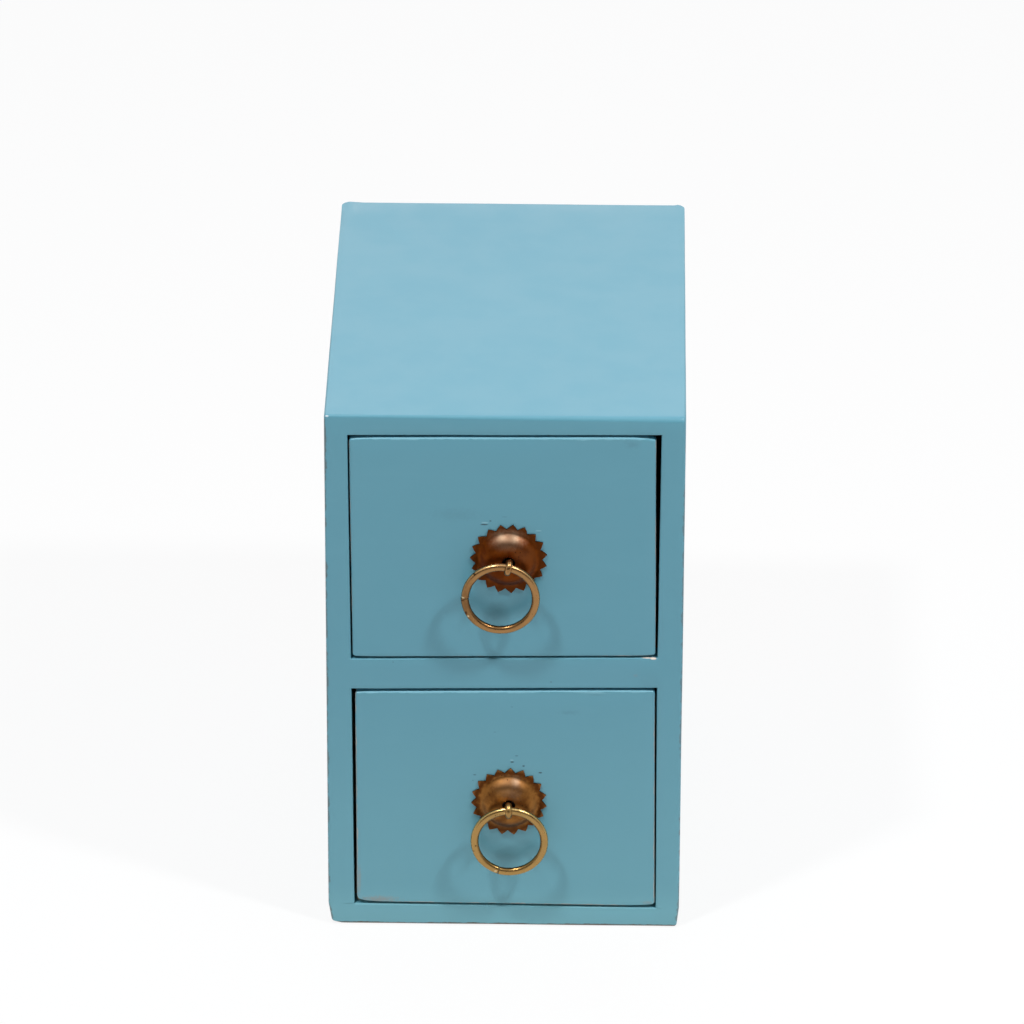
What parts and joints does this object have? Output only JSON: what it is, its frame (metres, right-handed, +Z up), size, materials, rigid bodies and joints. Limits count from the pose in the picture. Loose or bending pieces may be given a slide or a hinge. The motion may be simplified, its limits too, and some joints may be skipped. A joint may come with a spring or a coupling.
{
  "type": "tabletop drawer chest",
  "caption": "Small painted wooden tabletop chest with stacked inset drawers, each opened by a ring pull hung from a serrated domed brass rosette.",
  "frame": {"origin": "centre of the underside that the chest stands on", "axes": "+Z up, +X to the right seen from the front, the drawers face -Y"},
  "size_m": [0.15, 0.2198, 0.2438],
  "materials": {
    "blue_paint": "satin sky-blue paint on wood, soft arrises, faint scuffs",
    "bare_wood": "planed softwood, unfinished",
    "plywood": "thin birch plywood, unfinished",
    "aged_brass": "aged copper-brown brass",
    "bright_brass": "rubbed golden brass",
    "steel_pin": "plain steel wire"
  },
  "bodies": {
    "carcass": {"top_panel": "blue_paint", "bottom_panel": "blue_paint", "left_side": "blue_paint", "right_side": "blue_paint", "divider": "blue_paint", "carcass_pins": "steel_pin", "back_panel": "plywood", "back_panel_pins": "steel_pin"},
    "upper_drawer": {"upper_drawer_front": "blue_paint", "upper_drawer_left": "bare_wood", "upper_drawer_right": "bare_wood", "upper_drawer_back": "bare_wood", "upper_drawer_bottom": "plywood", "upper_drawer_pins": "steel_pin", "upper_rosette": "aged_brass", "upper_split_pin": "bright_brass"},
    "upper_pull": {"upper_ring": "bright_brass"},
    "lower_drawer": {"lower_drawer_front": "blue_paint", "lower_drawer_left": "bare_wood", "lower_drawer_right": "bare_wood", "lower_drawer_back": "bare_wood", "lower_drawer_bottom": "plywood", "lower_drawer_pins": "steel_pin", "lower_rosette": "aged_brass", "lower_split_pin": "bright_brass"},
    "lower_pull": {"lower_ring": "bright_brass"}
  },
  "joints": [
    {"name": "upper_drawer_slide", "type": "slide", "parent": "carcass", "child": "upper_drawer", "axis": [0, -1, 0], "range_m": [0, 0.15]},
    {"name": "upper_ring_swing", "type": "hinge", "parent": "upper_drawer", "child": "upper_pull", "pos_m": [0.00167, -0.1123, 0.1775], "axis": [-0.9763, 0, 0.2164], "range_deg": [-12, 192]},
    {"name": "lower_drawer_slide", "type": "slide", "parent": "carcass", "child": "lower_drawer", "axis": [0, -1, 0], "range_m": [0, 0.15]},
    {"name": "lower_ring_swing", "type": "hinge", "parent": "lower_drawer", "child": "lower_pull", "pos_m": [0.0021, -0.1123, 0.06105], "axis": [-0.9997, 0, -0.0262], "range_deg": [-12, 192]}
  ]
}
